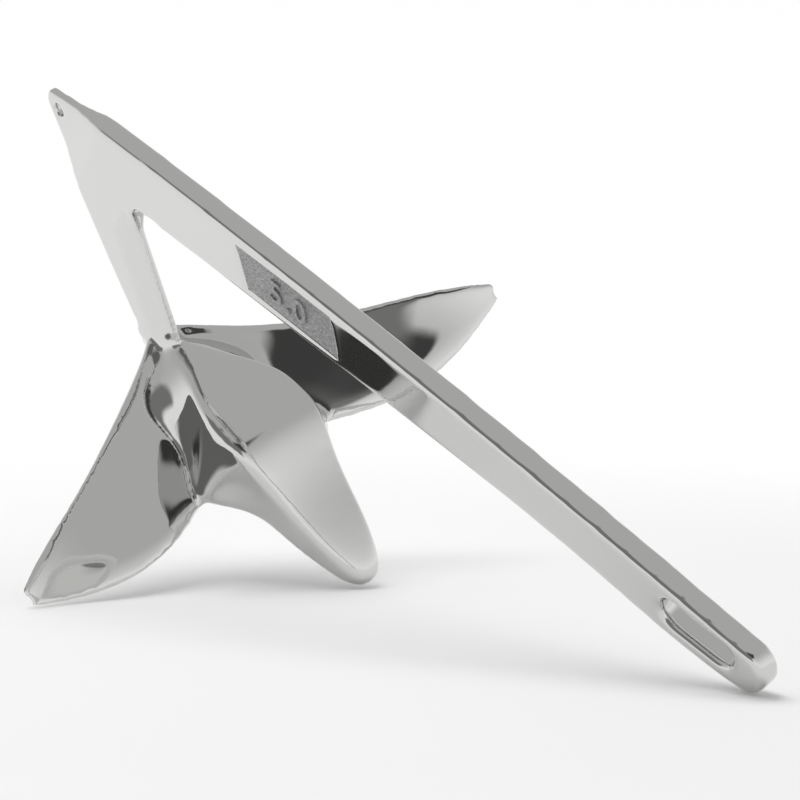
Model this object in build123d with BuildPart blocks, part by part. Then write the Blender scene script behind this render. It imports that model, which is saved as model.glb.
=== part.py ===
from build123d import *
import os

os.makedirs("parts", exist_ok=True)

# Claw anchor, one stainless casting, in millimetres.
# It is drawn upright first: X runs along the shank to the eye, Y is across the claw, Z is up,
# and the top of the tail lug is near the origin. At the end it is laid down as it comes to rest.

# Shank
shank_thickness = 10.8
shank_start_x = 36.0
shank_start_z = 4.0
shank_depth_at_arm = 32.5
shank_mid_x = 220.0
shank_mid_z = 1.9
shank_depth_mid = 28.4
nose_start_x = 405.0
nose_start_z = -9.8
nose_depth = 21.0
nose_length = 12.4
edge_round = 1.6

# Tail lug with its trip-line hole
tail_x = -3.5
tail_rear_z = -6.0
lug_thickness = 5.0
lug_length = 15.0
lug_swell = 24.0
lug_lean = 25.0
swell_slope = 0.12
trip_hole_x = 4.7
trip_hole_z = -8.0
trip_hole_diameter = 6.0

# Arm between the tail and the crown
arm_foot_rear_x = 52.0
arm_foot_front_x = 79.0
arm_foot_z = -106.0
arm_root_depth = 10.0
arm_rear_bulge = 1.5
arm_front_top_x = 56.5
arm_front_top_z = -46.0
apex_round = 8.0
arm_edge_width = 2.6
arm_bevel_width = 15.0
bevel_run_out = 14.0
arm_front_round = 20.0
collar_flare = 2.4
collar_height = 3.5

# Room that the cutting shapes take beyond the metal
cut_clear = 15.0

# Shackle slot near the nose
slot_centre_x = 385.5
slot_centre_z = -19.4
slot_length = 35.5
slot_height = 12.4
slot_rim = 1.1

# Recessed panel on the side of the shank
panel_start_x = 135.8
panel_end_x = 192.8
panel_floor_z = -22.6
panel_height = 19.6
panel_lean = 6.0
panel_bow = 1.6
panel_depth = 1.0

# Side fluke: stations across the claw, from the middle out to the tip.
# Each has the distance from the middle, the rear rim (x, z), the forward edge (x, z),
# and the half thickness of the rear rim and of the ground forward edge.
fluke_stations = [
    (0.0, 51.5, -105.5, 112.0, -134.0, 5.4, 3.0),
    (30.0, 75.0, -108.0, 130.0, -134.0, 5.2, 2.2),
    (60.0, 92.0, -112.5, 145.0, -128.3, 4.4, 3.4),
    (96.0, 115.5, -106.5, 151.0, -121.1, 3.6, 4.0),
    (124.0, 131.5, -105.0, 147.5, -115.2, 2.8, 2.4),
    (136.5, 139.0, -106.5, 145.5, -110.8, 2.0, 1.6),
]

# Middle fluke: stations along the shank direction, from the arm's foot out to the tip.
# Each has x, the ridge (half width, z), the foot of the side wall (half width, z),
# the depth of the lip under that foot, and the underside's z in the middle.
tongue_stations = [
    (60.0, 2.6, -107.0, 5.0, -111.0, 2.0, -115.0),
    (72.0, 4.0, -104.5, 16.0, -113.0, 2.5, -120.0),
    (82.0, 6.5, -102.0, 31.0, -115.5, 3.0, -124.5),
    (92.0, 10.0, -100.5, 31.0, -118.5, 4.0, -128.5),
    (104.0, 15.5, -99.5, 27.5, -123.5, 5.0, -132.5),
    (118.0, 21.0, -99.0, 30.5, -127.5, 5.0, -135.5),
    (133.0, 22.5, -101.5, 37.0, -131.0, 3.5, -137.5),
    (146.0, 22.5, -105.5, 27.5, -134.5, 3.0, -140.0),
    (163.0, 18.0, -120.5, 19.5, -141.5, 2.6, -146.0),
    (178.0, 15.0, -132.0, 16.5, -147.0, 2.4, -151.0),
    (192.0, 11.5, -142.0, 12.5, -152.0, 2.2, -155.5),
    (200.0, 7.5, -148.5, 8.5, -155.0, 2.0, -158.0),
    (203.5, 3.5, -152.5, 4.0, -156.5, 1.4, -158.5),
]
palm_crown = 1.2
face_hollow = 1.2
face_thickness_share = 0.62
rim_bevel = 0.55

# Hollow under the palm: wall left above it and beside it, and its stations along the claw
hollow_roof = 6.0
hollow_wall = 5.0
hollow_mouth = 12.0
hollow_round = 3.0
hollow_start_x = 70.0
hollow_end_x = 168.0

half_thickness = shank_thickness / 2
half_lug = lug_thickness / 2
half_edge = arm_edge_width / 2
arm_root_z = arm_foot_z - arm_root_depth
shank_under_z = shank_start_z - shank_depth_at_arm

# Wedge cut off each side of the arm's forward part, running out at the opening's top corner
arm_length = ((arm_foot_front_x - arm_front_top_x) ** 2 + (arm_front_top_z - arm_foot_z) ** 2) ** 0.5
arm_direction = (
    (arm_foot_front_x - arm_front_top_x) / arm_length,
    0.0,
    (arm_foot_z - arm_front_top_z) / arm_length,
)
with BuildPart() as arm_bevel:
    for along, share in ((-bevel_run_out, 0.04), (0.0, 1.0), (arm_length + arm_root_depth, 1.0)):
        station = (
            arm_front_top_x + arm_direction[0] * along,
            0.0,
            arm_front_top_z + arm_direction[2] * along,
        )
        start_y = half_thickness - (half_thickness - half_edge) * share
        with BuildSketch(Plane(origin=station, x_dir=(0, 1, 0), z_dir=arm_direction)):
            with BuildLine():
                Polyline(
                    (start_y, 2.0),
                    (start_y, 0.0),
                    (half_thickness, -arm_bevel_width * share),
                    (half_thickness + 2.0, -arm_bevel_width * share),
                    (half_thickness + 2.0, 2.0),
                    close=True,
                )
            make_face()
    loft(ruled=True)
    mirror(about=Plane.XZ)

# Space beside the thin tail lug, swelling out to the full shank thickness
lug_plane = Plane(Location((tail_x, 0, 0), (0, lug_lean, 0)))
with BuildPart() as lug_side:
    with BuildSketch(lug_plane):
        with BuildLine():
            swell_start = (lug_length, half_lug)
            swell_end = (lug_length + lug_swell, half_thickness + swell_slope * 2)
            clear_x = -lug_length - cut_clear
            clear_y = half_thickness + cut_clear
            Line((clear_x, half_lug), swell_start)
            Spline(swell_start, swell_end, tangents=((1, 0), (1, swell_slope)))
            Polyline(swell_end, (lug_length + lug_swell, clear_y), (clear_x, clear_y), (clear_x, half_lug))
        make_face()
    extrude(amount=lug_length + lug_swell + cut_clear, both=True)
    mirror(about=Plane.XZ)

# Side outline of the shank, the tail and the arm, with the opening between them
with BuildPart() as shank:
    with BuildSketch(Plane.XZ) as side_view:
        with BuildLine():
            top = ThreePointArc(
                (shank_start_x, shank_start_z), (shank_mid_x, shank_mid_z), (nose_start_x, nose_start_z)
            )
            nose_bottom = (nose_start_x + 2.5, nose_start_z - nose_depth)
            nose_front = (nose_start_x + nose_length, nose_start_z - nose_depth / 2)
            ThreePointArc(top @ 1, nose_front, nose_bottom)
            Spline(
                nose_bottom,
                (nose_start_x - 33.5, nose_bottom[1] - 0.8),
                (nose_start_x - 69.5, nose_bottom[1] + 2.2),
                (nose_start_x - 111.5, nose_bottom[1] + 4.2),
                (shank_mid_x, shank_mid_z - shank_depth_mid),
                (arm_front_top_x + 40.0, shank_under_z + 0.6),
                (arm_front_top_x - 1.5, shank_under_z),
            )
            Polyline(
                (arm_front_top_x - 1.5, shank_under_z),
                (arm_front_top_x, arm_front_top_z),
                (arm_foot_front_x, arm_foot_z),
                (arm_foot_front_x, arm_root_z),
                (arm_foot_rear_x, arm_root_z),
                (arm_foot_rear_x, arm_foot_z),
            )
            rear_mid_x = (arm_foot_rear_x + tail_x) / 2
            rear_mid_z = (arm_foot_z + tail_rear_z) / 2
            ThreePointArc(
                (arm_foot_rear_x, arm_foot_z), (rear_mid_x - arm_rear_bulge, rear_mid_z), (tail_x, tail_rear_z)
            )
            Polyline((tail_x, tail_rear_z), (tail_x + 2.0, 0.0), (shank_start_x, shank_start_z))
        make_face()
    extrude(amount=half_thickness, both=True)
    cross_edges = shank.edges().filter_by(Axis.Y)
    fillet(cross_edges.sort_by_distance((arm_front_top_x - 1.5, 0, shank_under_z))[0], apex_round)
    fillet(cross_edges.sort_by_distance((arm_front_top_x, 0, arm_front_top_z))[0], arm_front_round)

    side_faces = shank.faces().sort_by(Axis.Y)
    fillet(side_faces[0].edges() + side_faces[-1].edges(), edge_round)

    add(arm_bevel.part, mode=Mode.SUBTRACT)
    add(lug_side.part, mode=Mode.SUBTRACT)

    # Trip-line hole and shackle slot
    with BuildSketch(Plane.XZ):
        with Locations((trip_hole_x, trip_hole_z)):
            Circle(trip_hole_diameter / 2)
        with Locations((slot_centre_x, slot_centre_z)):
            SlotOverall(slot_length, slot_height)
    extrude(amount=20.0, both=True, mode=Mode.SUBTRACT)
    side_faces = shank.faces().filter_by(GeomType.PLANE).filter_by(Axis.Y).sort_by(SortBy.AREA)[-2:]
    slot_rims = side_faces.edges().filter_by(lambda e: abs(e.center().X - slot_centre_x) < slot_length * 0.55)
    fillet(slot_rims.filter_by(lambda e: abs(e.center().Z - slot_centre_z) < slot_height * 0.55), slot_rim)

    # Recessed panel on one side
    with BuildSketch(Plane.XZ.offset(half_thickness)):
        with BuildLine():
            panel_top_z = panel_floor_z + panel_height
            panel_top_start = (panel_start_x - panel_lean, panel_top_z)
            panel_top_end = (panel_end_x - panel_lean * 0.6, panel_top_z - 1.0)
            panel_top_mid = ((panel_top_start[0] + panel_top_end[0]) / 2, panel_top_z + panel_bow)
            Line((panel_start_x, panel_floor_z), panel_top_start)
            ThreePointArc(panel_top_start, panel_top_mid, panel_top_end)
            Polyline(panel_top_end, (panel_end_x, panel_floor_z), (panel_start_x, panel_floor_z))
        make_face()
    extrude(amount=-panel_depth, mode=Mode.SUBTRACT)

# Side flukes: a slab with rounded edges, lofted from the middle to one tip and mirrored
with BuildPart() as fluke:
    for across, rear_x, rear_z, front_x, front_z, rear_r, front_r in fluke_stations:
        with BuildSketch(Plane.XZ.offset(-across)):
            with BuildLine():
                rear_top = (rear_x + rear_r * rim_bevel, rear_z)
                rear_under = (rear_x + rear_r * 1.3, rear_z - rear_r * 2)
                front_top = (front_x - front_r * 1.6, front_z)
                front_under = (front_x - front_r * 0.6, front_z - front_r * 2)
                middle_x = (rear_x + front_x) / 2
                middle_z = (rear_z + front_z) / 2
                ThreePointArc(rear_top, (middle_x, middle_z - face_hollow), front_top)
                Polyline(front_top, (front_x, front_z - front_r * 1.4), front_under)
                ThreePointArc(front_under, (middle_x, middle_z - (rear_r + front_r) * face_thickness_share), rear_under)
                Polyline(
                    rear_under,
                    (rear_x, rear_z - rear_r * (2 - rim_bevel)),
                    (rear_x, rear_z - rear_r * rim_bevel),
                    rear_top,
                )
            make_face()
    loft()
    mirror(about=Plane.XZ)

# Middle fluke and the palm behind it
with BuildPart() as tongue:
    for x, ridge_y, ridge_z, foot_y, foot_z, lip, under_z in tongue_stations:
        with BuildSketch(Plane.YZ.offset(x)):
            with BuildLine():
                ThreePointArc((-ridge_y, ridge_z), (0, ridge_z + palm_crown), (ridge_y, ridge_z))
                Line((ridge_y, ridge_z), (foot_y, foot_z))
                Line((foot_y, foot_z), (foot_y - 0.6, foot_z - lip))
                ThreePointArc(
                    (foot_y - 0.6, foot_z - lip), (0, under_z), (0.6 - foot_y, foot_z - lip)
                )
                Line((0.6 - foot_y, foot_z - lip), (-foot_y, foot_z))
                Line((-foot_y, foot_z), (-ridge_y, ridge_z))
            make_face()
    loft()

# Flared collar where the arm grows out of the crown
with BuildPart() as collar:
    for height, flare in ((collar_height, 0.2), (collar_height * 0.3, collar_flare * 0.4), (-2.0, collar_flare)):
        z = arm_foot_z + height
        rear_x = arm_foot_rear_x - height * 0.5
        front_x = arm_foot_front_x - height * 0.38
        with BuildSketch(Plane.XY.offset(z)):
            with BuildLine():
                Polyline(
                    (rear_x - flare * 0.5, half_thickness + flare),
                    (front_x - arm_bevel_width, half_thickness + flare),
                    (front_x + flare, half_edge + flare),
                    (front_x + flare, -half_edge - flare),
                    (front_x - arm_bevel_width, -half_thickness - flare),
                    (rear_x - flare * 0.5, -half_thickness - flare),
                    close=True,
                )
            make_face()
    loft()

# Hollow under the palm and the middle fluke
with BuildPart() as hollow:
    for x, ridge_y, ridge_z, foot_y, foot_z, lip, under_z in tongue_stations:
        if hollow_start_x < x < hollow_end_x:
            roof_y = max(ridge_y - hollow_wall * 0.9, 3.0)
            roof_z = ridge_z - hollow_roof
            mouth_y = max(foot_y - hollow_wall, roof_y + 1.0)
            mouth_z = under_z - hollow_mouth
            with BuildSketch(Plane.YZ.offset(x)) as hollow_section:
                with BuildLine():
                    Polyline(
                        (-mouth_y, mouth_z), (-roof_y, roof_z), (roof_y, roof_z), (mouth_y, mouth_z), close=True
                    )
                make_face()
                fillet(hollow_section.vertices().group_by(Axis.Y)[-1], hollow_round)
    loft()

with BuildPart() as upright:
    add(shank.part)
    add(fluke.part)
    add(tongue.part)
    add(collar.part)
    add(hollow.part, mode=Mode.SUBTRACT)

# Three points the anchor rests on: the nose, the middle fluke's tip and one side fluke's tip
points = upright.part.tessellate(0.1)[0]
nose_points = [p for p in points if p.X > slot_centre_x]
tongue_points = [p for p in points if slot_centre_x > p.X and p.Z < -140.0]
side_points = [p for p in points if p.Y < -100.0]
up = Vector(-0.49, 0.5, 0.71)
for _ in range(8):
    nose = min(nose_points, key=lambda p: p.dot(up))
    tip = min(tongue_points, key=lambda p: p.dot(up))
    side = min(side_points, key=lambda p: p.dot(up))
    up = (nose - tip).cross(side - tip).normalized()
    if up.Z < 0:
        up = -up
rest_plane = Plane(origin=tip, x_dir=Vector(0, 1, 0).cross(up), z_dir=up)

# Finished anchor, laid down on those points and centred over its footprint
with BuildPart() as lying:
    with Locations(rest_plane.location.inverse()):
        add(upright.part)
box = lying.part.bounding_box()
with BuildPart() as claw_anchor:
    with Locations((-box.center().X, -box.center().Y, -box.min.Z)):
        add(lying.part)

claw_anchor.part.label = "claw_anchor"
export_step(claw_anchor.part, "parts/claw_anchor.step")
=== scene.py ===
"""Looks of a mirror-polished claw anchor that rests on its nose, its middle fluke and one side fluke.

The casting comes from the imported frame. A merged and finely remeshed copy of it takes its place,
because a mirror finish shows every facet. The panel on the shank gets its rough cast floor and
plain raised numerals. Lengths are in metres, in the frame's own axes.
"""

import logging
import math
from dataclasses import dataclass, field
from enum import Enum

import bmesh
import bpy
from mathutils import Matrix, Vector
from mathutils.kdtree import KDTree


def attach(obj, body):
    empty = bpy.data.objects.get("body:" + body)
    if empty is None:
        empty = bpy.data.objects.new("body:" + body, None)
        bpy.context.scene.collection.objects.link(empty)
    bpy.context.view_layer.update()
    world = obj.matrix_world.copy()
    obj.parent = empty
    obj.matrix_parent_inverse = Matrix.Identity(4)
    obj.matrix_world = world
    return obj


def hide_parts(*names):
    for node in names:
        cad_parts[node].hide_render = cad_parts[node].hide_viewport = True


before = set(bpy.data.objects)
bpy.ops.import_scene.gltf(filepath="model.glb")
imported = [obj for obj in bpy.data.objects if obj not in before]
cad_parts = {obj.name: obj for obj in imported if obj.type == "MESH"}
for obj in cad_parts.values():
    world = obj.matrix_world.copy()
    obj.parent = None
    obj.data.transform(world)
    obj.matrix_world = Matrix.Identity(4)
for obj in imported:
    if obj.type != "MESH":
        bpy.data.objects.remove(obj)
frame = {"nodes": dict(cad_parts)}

LOG = logging.getLogger("claw_anchor")


class Sum(Enum):
    """What a Math node does with its values."""

    ADD = "ADD"
    SUBTRACT = "SUBTRACT"
    MULTIPLY = "MULTIPLY"
    DIVIDE = "DIVIDE"
    MOST = "MAXIMUM"
    SIZE = "ABSOLUTE"


class Socket:
    """A shader value that can be used in Python sums.

    Args:
        tree: The node tree that the value lives in.
        link: The output socket that carries the value.
    """

    def __init__(self, tree: bpy.types.NodeTree, link: bpy.types.NodeSocket) -> None:
        """Wraps an output socket."""
        self.tree = tree
        self.link = link

    def _math(self, operation: Sum, first: object, second: object) -> "Socket":
        """Adds a Math node.

        Args:
            operation: What the node does.
            first: A number or Socket.
            second: A number or Socket.

        Returns:
            The node's result.
        """
        node = self.tree.nodes.new("ShaderNodeMath")
        node.operation = operation.value
        for slot, value in zip(node.inputs, (first, second)):
            if isinstance(value, Socket):
                self.tree.links.new(value.link, slot)
            else:
                slot.default_value = float(value)
        return Socket(self.tree, node.outputs[0])

    def __add__(self, other: object) -> "Socket":
        """Sum."""
        return self._math(Sum.ADD, self, other)

    __radd__ = __add__

    def __sub__(self, other: object) -> "Socket":
        """Difference."""
        return self._math(Sum.SUBTRACT, self, other)

    def __rsub__(self, other: object) -> "Socket":
        """Reflected difference."""
        return self._math(Sum.SUBTRACT, other, self)

    def __mul__(self, other: object) -> "Socket":
        """Product."""
        return self._math(Sum.MULTIPLY, self, other)

    __rmul__ = __mul__

    def __truediv__(self, other: object) -> "Socket":
        """Quotient."""
        return self._math(Sum.DIVIDE, self, other)

    def most(self, other: object) -> "Socket":
        """The higher of two values."""
        return self._math(Sum.MOST, self, other)

    def size(self) -> "Socket":
        """The value without its sign."""
        return self._math(Sum.SIZE, self, 0.0)


class Shader:
    """A node tree with one method that makes any node.

    Args:
        tree: The material's or the world's node tree, which is emptied.
    """

    def __init__(self, tree: bpy.types.NodeTree) -> None:
        """Empties the tree."""
        self.tree = tree
        tree.nodes.clear()

    def node(self, kind: str, settings: dict | None = None, **values: object) -> bpy.types.Node:
        """Makes a node.

        Args:
            kind: The node's type name.
            settings: Properties that are set first, such as an operation.
            values: Sockets by name, with an underscore for a space.

        Returns:
            The new node.
        """
        made = self.tree.nodes.new(kind)
        for name, value in (settings or {}).items():
            setattr(made, name, value)
        for name, value in values.items():
            self.feed(made.inputs[name.replace("_", " ")], value)
        return made

    def feed(self, slot: bpy.types.NodeSocket, value: object) -> None:
        """Gives a socket its value.

        Args:
            slot: The input socket.
            value: A Socket, an output socket or a plain value.
        """
        if isinstance(value, Socket):
            self.tree.links.new(value.link, slot)
        elif isinstance(value, bpy.types.NodeSocket):
            self.tree.links.new(value, slot)
        else:
            slot.default_value = value

    def value(self, node: bpy.types.Node, output: str | int = 0) -> Socket:
        """One of a node's outputs as a Socket."""
        return Socket(self.tree, node.outputs[output])

    def split(self, vector: bpy.types.NodeSocket) -> tuple[Socket, Socket, Socket]:
        """The three numbers of a vector."""
        made = self.node("ShaderNodeSeparateXYZ", Vector=vector)
        return tuple(Socket(self.tree, out) for out in made.outputs)

    def ease(self, value: Socket, low: float, high: float) -> Socket:
        """A smooth step.

        Args:
            value: What is compared.
            low: Where the result is 0.
            high: Where the result is 1; it may be under low.

        Returns:
            A mask from 0 to 1.
        """
        made = self.node(
            "ShaderNodeMapRange",
            {"interpolation_type": "SMOOTHSTEP"},
            Value=value,
            From_Min=low,
            From_Max=high,
        )
        return self.value(made)

    def noise(self, vector: object, scale: float, detail: float = 2.0, roughness: float = 0.5) -> Socket:
        """A noise pattern's factor.

        Args:
            vector: Where the pattern is read.
            scale: Its scale.
            detail: Its number of octaves.
            roughness: How strong the fine octaves are.

        Returns:
            The factor.
        """
        made = self.node(
            "ShaderNodeTexNoise", Vector=vector, Scale=scale, Detail=detail, Roughness=roughness
        )
        return self.value(made)

    def blend(self, factor: object, first: object, second: object) -> bpy.types.NodeSocket:
        """A mix of two colours.

        Args:
            factor: 0 for the first, 1 for the second.
            first: A colour or link.
            second: A colour or link.

        Returns:
            The mixed colour.
        """
        made = self.node("ShaderNodeMix", {"data_type": "RGBA"})
        for slot, value in zip((made.inputs[0], made.inputs[6], made.inputs[7]), (factor, first, second)):
            self.feed(slot, value)
        return made.outputs[2]


def grey(level: float) -> tuple[float, float, float, float]:
    """An opaque grey."""
    return (level, level, level, 1.0)


@dataclass(frozen=True)
class ShankFrame:
    """Where the shank's own axes lie in the resting anchor.

    Along the shank is u, through its sides is v, and up the anchor's own height is w.
    """

    origin: Vector = Vector((-0.165000, -0.077135, 0.216149))
    along: Vector = Vector((0.851748, 0.239889, -0.465810))
    across: Vector = Vector((0.0, 0.889032, 0.457846))
    height: Vector = Vector((0.523952, -0.389969, 0.757231))

    def matrix(self) -> Matrix:
        """The turn and shift from the shank's axes to the frame's."""
        turn = Matrix((self.along, self.across, self.height)).transposed().to_4x4()
        return Matrix.Translation(self.origin) @ turn

    def place(self, along: float, across: float, height: float) -> Vector:
        """A point of the shank, in the frame's axes."""
        return self.matrix() @ Vector((along, across, height))


@dataclass(frozen=True)
class PanelFloor:
    """The rough cast floor of the recess on the shank's side, in the shank's own axes.

    The recess runs from start to end along the shank and from low to high, and its ends lean.
    The floor begins inset from its walls, with soft edges, and fades out under the upper wall.
    Across the shank it lies from a little under depth_face to a little over it.
    """

    start: float = 0.1358
    end: float = 0.1928
    low: float = -0.0226
    high: float = -0.0030
    lean: float = 0.0060
    end_lean_share: float = 0.6
    depth_face: float = -0.0056
    face_soft: float = 0.0003
    reach: tuple[float, float] = (0.0045, 0.0040)
    top_fade: tuple[float, float] = (0.0022, 0.0016)
    inset: float = 0.0006
    soft: float = 0.0003
    roughness: float = 0.42
    grain_height: float = 0.0009
    grain_scale: float = 900.0
    cast_range: tuple[float, float] = (0.35, 0.7)
    dark: float = 0.30
    light: float = 0.54

    def mask(self, s: Shader, place: bpy.types.NodeSocket, shank: ShankFrame) -> Socket:
        """Where the floor is.

        Args:
            s: The material's shader.
            place: Object coordinates.
            shank: The shank's axes.

        Returns:
            1 on the floor and 0 elsewhere.
        """
        turn = shank.matrix().inverted()
        rows: list[Socket] = []
        for row in range(3):
            dot = s.node("ShaderNodeVectorMath", {"operation": "DOT_PRODUCT"})
            s.tree.links.new(place, dot.inputs[0])
            dot.inputs[1].default_value = tuple(turn[row][:3])
            rows.append(s.value(dot, "Value") + turn[row][3])
        u, v, w = rows
        slide = (self.high - w) * (self.lean / (self.high - self.low)) - self.lean
        first, last, base = self.start + self.inset, self.end - self.inset, self.low + self.inset
        left = s.ease(u - slide, first - self.soft, first + self.soft)
        right = s.ease(u - slide * self.end_lean_share, last + self.soft, last - self.soft)
        bottom = s.ease(w, base - self.soft, base + self.soft)
        top = s.ease(w, self.high + self.top_fade[0], self.high + self.top_fade[1])
        deep = s.ease(v, self.depth_face + self.reach[0], self.depth_face + self.reach[1])
        sunk = s.ease(v, self.depth_face, self.depth_face + self.face_soft)
        return left * right * bottom * top * deep * sunk


@dataclass(frozen=True)
class PolishedSteel:
    """Mirror-polished stainless steel with the faint waves that hand polishing leaves."""

    colour: tuple[float, float, float] = (0.67, 0.67, 0.66)
    roughness: float = 0.045
    wave_height: float = 0.00010
    wave_scale: float = 26.0
    ripple_share: float = 0.06
    ripple_scale: float = 130.0
    smear_range: float = 0.035
    smear_scale: float = 60.0

    def material(self, panel: PanelFloor, shank: ShankFrame) -> bpy.types.Material:
        """Builds the finish.

        Args:
            panel: The rough floor that one patch of the casting gets instead.
            shank: The shank's axes.

        Returns:
            The material.
        """
        made = bpy.data.materials.new("polished_steel")
        made.use_nodes = True
        s = Shader(made.node_tree)
        place = s.node("ShaderNodeTexCoord").outputs["Object"]
        rough_patch = panel.mask(s, place, shank)
        waves = s.noise(place, self.wave_scale, detail=1.0)
        ripples = s.noise(place, self.ripple_scale)
        smears = s.noise(place, self.smear_scale, detail=3.0, roughness=0.6)
        grain = s.noise(place, panel.grain_scale, detail=4.0, roughness=0.7)
        height = waves * self.wave_height + ripples * (self.wave_height * self.ripple_share)
        height = height + grain * rough_patch * panel.grain_height
        bump = s.node("ShaderNodeBump", Height=height, Strength=1.0, Distance=1.0)
        polished = smears * self.smear_range + (self.roughness - self.smear_range / 2)
        roughness = polished * (1.0 - rough_patch) + rough_patch * panel.roughness
        cast = s.ease(grain, *panel.cast_range)
        floor = s.blend(cast, grey(panel.dark), grey(panel.light))
        colour = s.blend(rough_patch, (*self.colour, 1.0), floor)
        shader = s.node(
            "ShaderNodeBsdfPrincipled",
            Base_Color=colour,
            Metallic=1.0,
            Roughness=roughness,
            Normal=bump.outputs["Normal"],
        )
        s.node("ShaderNodeOutputMaterial", Surface=shader.outputs[0])
        return made


@dataclass
class Casting:
    """The whole anchor as one smooth skin.

    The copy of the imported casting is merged, remeshed evenly along the shank's own axes and
    polished: open faces and valleys run smooth, and crisp edges are smoothed least.

    The shank, tail and arm lie within shank_half of the middle, and over shank_low or past
    shank_front. Their edges count as crisp over shank_edge, and the claw's over claw_edge. The
    smoothing grows from its share at edge_near of a crisp edge to the whole at edge_far.
    """

    name: str = "anchor_casting"
    cell: float = 0.00107
    merge: float = 0.00001
    claw_edge: float = math.radians(30)
    shank_edge: float = math.radians(9)
    shank_half: float = 0.0062
    shank_low: float = -0.100
    shank_front: float = 0.212
    across_share: float = 0.7
    sample: float = 0.001
    edge_near: float = 0.0020
    tip_start: float = 0.126
    edge_far: float = 0.0085
    shank_share: float = 0.32
    claw_share: float = 0.70
    smooth_rounds: int = 64
    smooth_share: float = 0.5

    def build(self, node: bpy.types.Object, shank: ShankFrame) -> bpy.types.Object:
        """Makes the skin.

        Args:
            node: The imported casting.
            shank: The shank's axes.

        Returns:
            The new piece.
        """
        piece = self._copy(node)
        bpy.ops.object.mode_set(mode="EDIT")
        bpy.ops.mesh.select_all(action="SELECT")
        bpy.ops.mesh.remove_doubles(threshold=self.merge)
        bpy.ops.object.mode_set(mode="OBJECT")
        turn = shank.matrix()
        piece.data.transform(turn.inverted())
        edges = self._crisp_points(piece.data)
        remesh = piece.modifiers.new("even_skin", "REMESH")
        remesh.mode = "VOXEL"
        remesh.voxel_size = self.cell
        remesh.use_smooth_shade = True
        bpy.ops.object.modifier_apply(modifier=remesh.name)
        piece.data.transform(turn)
        self._weigh(piece, edges, turn)
        smooth = piece.modifiers.new("polish", "SMOOTH")
        smooth.factor = self.smooth_share
        smooth.iterations = self.smooth_rounds
        smooth.vertex_group = "polish"
        bpy.ops.object.modifier_apply(modifier=smooth.name)
        piece.vertex_groups.clear()
        bpy.ops.object.shade_smooth()
        piece.select_set(False)
        return piece

    def _copy(self, node: bpy.types.Object) -> bpy.types.Object:
        """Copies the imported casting.

        Args:
            node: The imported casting.

        Returns:
            The copy, active and alone selected, with a mesh of its own.
        """
        bpy.ops.object.select_all(action="DESELECT")
        piece = node.copy()
        piece.data = node.data.copy()
        piece.name = self.name
        piece.data.name = self.name
        for key in list(piece.keys()):
            if key.startswith("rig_"):
                del piece[key]
        piece.parent = None
        bpy.context.scene.collection.objects.link(piece)
        bpy.context.view_layer.objects.active = piece
        piece.select_set(True)
        return piece

    def _in_shank(self, point: Vector) -> bool:
        """Whether a point in the shank's axes lies in the shank, the tail or the arm."""
        above = point.z > self.shank_low or point.x > self.shank_front
        return abs(point.y) < self.shank_half and above

    def _crisp_points(self, mesh: bpy.types.Mesh) -> KDTree:
        """Finds the edges that stay crisp.

        Args:
            mesh: The merged casting, in the shank's axes.

        Returns:
            Points along those edges.
        """
        points: list[Vector] = []
        shape = bmesh.new()
        shape.from_mesh(mesh)
        for edge in shape.edges:
            if len(edge.link_faces) != 2:
                continue
            bend = edge.calc_face_angle_signed(0.0)
            start, end = edge.verts[0].co, edge.verts[1].co
            way = end - start
            if self._in_shank((start + end) / 2) and abs(way.y) < way.length * self.across_share:
                crisp = bend > self.shank_edge
            else:
                crisp = bend > self.claw_edge
            if crisp:
                steps = max(1, math.ceil(way.length / self.sample))
                points.extend(start + way * (step / steps) for step in range(steps + 1))
        shape.free()
        tree = KDTree(len(points))
        for index, point in enumerate(points):
            tree.insert(point, index)
        tree.balance()
        return tree

    def _weigh(self, piece: bpy.types.Object, edges: KDTree, turn: Matrix) -> None:
        """Says how far each spot of the skin may be smoothed.

        Past tip_start a fluke counts as all edge.

        Args:
            piece: The skin.
            edges: Points along the crisp edges, in the shank's axes.
            turn: From the shank's axes to the frame's.
        """
        group = piece.vertex_groups.new(name="polish")
        back = turn.inverted()
        levels: dict[float, list[int]] = {}
        for vertex in piece.data.vertices:
            local = back @ vertex.co
            gap = 0.0 if abs(local.y) > self.tip_start else edges.find(local)[2]
            rise = min(1.0, max(0.0, (gap - self.edge_near) / (self.edge_far - self.edge_near)))
            rise = rise * rise * (3.0 - 2.0 * rise)
            share = self.shank_share if self._in_shank(local) else self.claw_share
            weight = round(share + (1.0 - share) * rise, 2)
            levels.setdefault(weight, []).append(vertex.index)
        for weight, indices in levels.items():
            group.add(indices, weight, "REPLACE")


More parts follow.
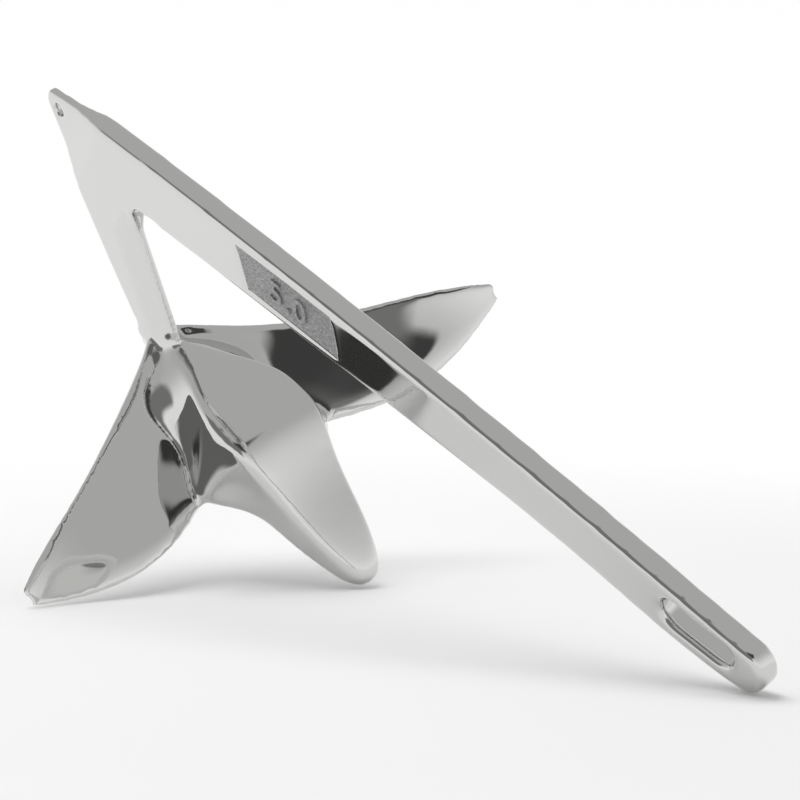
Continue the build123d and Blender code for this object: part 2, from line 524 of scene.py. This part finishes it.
@dataclass
class Numerals:
    """Plain raised numerals on the floor of the recess.

    The figures' own size is size_ratio times their height. Bevel, boldness and the depth that
    they are sunk into the floor are shares of their relief.
    """

    text: str = "5.0"
    height: float = 0.0118
    size_ratio: float = 1.42
    spacing: float = 1.15
    relief: float = 0.00085
    bevel_share: float = 0.18
    bold_share: float = 0.12
    sunk_share: float = 0.4
    smooth_angle: float = math.radians(35)
    centre_along: float = 0.1615
    centre_height: float = -0.0128
    floor: float = -0.0044

    def build(self, shank: ShankFrame) -> bpy.types.Object:
        """Makes the numerals.

        Args:
            shank: The shank's axes.

        Returns:
            The new piece.
        """
        bpy.ops.object.select_all(action="DESELECT")
        bpy.ops.object.text_add(location=(0.0, 0.0, 0.0))
        piece = bpy.context.object
        piece.name = "panel_numerals"
        figures = piece.data
        figures.body = self.text
        figures.size = self.height * self.size_ratio
        figures.align_x = "CENTER"
        figures.align_y = "CENTER"
        figures.extrude = self.relief / 2
        figures.bevel_depth = self.relief * self.bevel_share
        figures.offset = self.relief * self.bold_share
        figures.space_character = self.spacing
        bpy.ops.object.convert(target="MESH")
        right = shank.along
        outward = -shank.across
        up = outward.cross(right)
        turn = Matrix((right, up, outward)).transposed().to_4x4()
        depth = self.floor - self.relief * self.sunk_share
        spot = shank.place(self.centre_along, depth, self.centre_height)
        piece.matrix_world = Matrix.Translation(spot) @ turn
        bpy.ops.object.transform_apply(location=True, rotation=True, scale=True)
        bpy.ops.object.shade_smooth_by_angle(angle=self.smooth_angle)
        piece.select_set(False)
        return piece


@dataclass(frozen=True)
class DarkPatch:
    """A soft-edged dark patch of the room, which the steel mirrors.

    azimuth is turned from -Y towards +X, and elevation is up from level. Both, the patch's half
    width and height and its soft edge are in degrees.
    """

    azimuth: float
    elevation: float
    wide: float
    tall: float
    edge: float
    level: float

    def mask(self, s: Shader, x: Socket, y: Socket, z: Socket) -> Socket:
        """Where the patch is.

        Args:
            s: The room's shader.
            x: The view direction along X.
            y: The view direction along Y.
            z: The view direction along Z.

        Returns:
            1 in the patch and 0 elsewhere.
        """
        a, e = math.radians(self.azimuth), math.radians(self.elevation)
        out = Vector((math.sin(a) * math.cos(e), -math.cos(a) * math.cos(e), math.sin(e)))
        side = Vector((math.cos(a), math.sin(a), 0.0))
        up = out.cross(side) * -1.0
        ahead = x * out.x + y * out.y + z * out.z
        sideways = (x * side.x + y * side.y + z * side.z).size()
        upwards = (x * up.x + y * up.y + z * up.z).size()
        least_ahead, all_ahead = 0.05, 0.1
        near = ahead.most(least_ahead)
        edge, wide, tall = (math.tan(math.radians(angle)) for angle in (self.edge, self.wide, self.tall))
        mask = s.ease(sideways / near, wide + edge, wide) * s.ease(upwards / near, tall + edge, tall)
        return mask * s.ease(ahead, least_ahead, all_ahead)


@dataclass
class Studio:
    """The pale floor, the soft room around it and the lamp."""

    floor_radius: float = 6.0
    floor_corners: int = 96
    floor_fade: tuple[float, float] = (0.22, 0.62)
    floor_colour: float = 0.96
    overhead: float = 0.54
    horizon: float = 1.0
    room_fade: tuple[float, float] = (0.02, 0.75)
    lamp_size: tuple[float, float] = (1.6, 1.2)
    lamp_watts: float = 17.0
    lamp_place: tuple[float, float, float] = (-0.5, -0.3, 1.7)
    lamp_aim: tuple[float, float, float] = (0.0, 0.0, 0.08)
    patches: list[DarkPatch] = field(
        default_factory=lambda: [
            DarkPatch(azimuth=60.0, elevation=44.0, wide=14.0, tall=8.0, edge=7.0, level=0.06),
            DarkPatch(azimuth=20.0, elevation=25.0, wide=30.0, tall=14.0, edge=14.0, level=0.22),
        ]
    )

    def room(self) -> None:
        """Builds the room's light."""
        world = bpy.data.worlds.new("soft_room")
        bpy.context.scene.world = world
        world.use_nodes = True
        s = Shader(world.node_tree)
        x, y, z = s.split(s.node("ShaderNodeTexCoord").outputs["Generated"])
        rise = s.ease(z, *self.room_fade)
        light = (1.0 - rise) * self.horizon + rise * self.overhead
        for patch in self.patches:
            mask = patch.mask(s, x, y, z)
            light = light * (1.0 - mask) + mask * patch.level
        shader = s.node("ShaderNodeBackground", Color=grey(1.0), Strength=light)
        s.node("ShaderNodeOutputWorld", Surface=shader.outputs[0])

    def floor(self) -> bpy.types.Object:
        """Lays the floor, which turns plain white further out.

        Returns:
            The floor.
        """
        bpy.ops.object.select_all(action="DESELECT")
        bpy.ops.mesh.primitive_circle_add(
            vertices=self.floor_corners,
            radius=self.floor_radius,
            fill_type="NGON",
            location=(0.0, 0.0, 0.0),
        )
        floor = bpy.context.object
        floor.name = "studio_floor"
        made = bpy.data.materials.new("pale_floor")
        made.use_nodes = True
        s = Shader(made.node_tree)
        x, y, _ = s.split(s.node("ShaderNodeTexCoord").outputs["Object"])
        level = s.node("ShaderNodeCombineXYZ", X=x, Y=y).outputs[0]
        length = s.node("ShaderNodeVectorMath", {"operation": "LENGTH"}, Vector=level)
        fade = s.ease(s.value(length, "Value"), *self.floor_fade)
        pale = s.node("ShaderNodeBsdfDiffuse", Color=grey(self.floor_colour))
        white = s.node("ShaderNodeEmission", Color=grey(1.0), Strength=1.0)
        mixed = s.node("ShaderNodeMixShader", Fac=fade)
        s.tree.links.new(pale.outputs[0], mixed.inputs[1])
        s.tree.links.new(white.outputs[0], mixed.inputs[2])
        s.node("ShaderNodeOutputMaterial", Surface=mixed.outputs[0])
        floor.data.materials.append(made)
        return floor

    def lamp(self) -> None:
        """Hangs one soft lamp over the anchor, for a plain level and a soft shadow."""
        data = bpy.data.lights.new("overhead_lamp", "AREA")
        data.shape = "RECTANGLE"
        data.size, data.size_y = self.lamp_size
        data.energy = self.lamp_watts
        lamp = bpy.data.objects.new("overhead_lamp", data)
        bpy.context.scene.collection.objects.link(lamp)
        lamp.location = self.lamp_place
        lamp.visible_glossy = False
        aim = Vector(self.lamp_aim) - lamp.location
        lamp.rotation_euler = aim.to_track_quat("-Z", "Y").to_euler()


@dataclass(frozen=True)
class PhotoCamera:
    """The photograph's viewpoint, for a square picture."""

    place: Vector = Vector((0.787884, -0.561058, 0.186376))
    right: Vector = Vector((0.574949, 0.817998, 0.017678))
    up: Vector = Vector((-0.090248, 0.041929, 0.995036))
    lens_mm: float = 108.065
    sensor_mm: float = 36.0
    clip_start: float = 0.05
    clip_end: float = 50.0

    def build(self) -> bpy.types.Object:
        """Sets up the camera.

        Returns:
            The camera.
        """
        data = bpy.data.cameras.new("photo_camera")
        data.sensor_fit = "HORIZONTAL"
        data.sensor_width = self.sensor_mm
        data.lens = self.lens_mm
        data.clip_start = self.clip_start
        data.clip_end = self.clip_end
        camera = bpy.data.objects.new("photo_camera", data)
        bpy.context.scene.collection.objects.link(camera)
        back = self.right.cross(self.up).normalized()
        up = back.cross(self.right).normalized()
        right = up.cross(back)
        turn = Matrix((right, up, back)).transposed().to_4x4()
        camera.matrix_world = Matrix.Translation(self.place) @ turn
        bpy.context.scene.camera = camera
        return camera


def main(frame: dict) -> None:
    """Builds the pieces and their surroundings.
    """
    shank = ShankFrame()
    finish = PolishedSteel().material(PanelFloor(), shank)
    casting = Casting().build(frame["nodes"]["claw_anchor"], shank)
    casting.data.materials.clear()
    casting.data.materials.append(finish)
    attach(casting, "root")
    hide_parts("claw_anchor")
    LOG.info("casting: %d faces", len(casting.data.polygons))
    numerals = Numerals().build(shank)
    numerals.data.materials.clear()
    numerals.data.materials.append(finish)
    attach(numerals, "root")
    LOG.info("numerals: %d faces", len(numerals.data.polygons))
    studio = Studio()
    studio.room()
    studio.floor()
    studio.lamp()
    PhotoCamera().build()
    bpy.context.scene.view_settings.view_transform = "Standard"


if __name__ == "__main__":
    logging.basicConfig(level=logging.INFO)
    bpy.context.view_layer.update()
    main(frame)
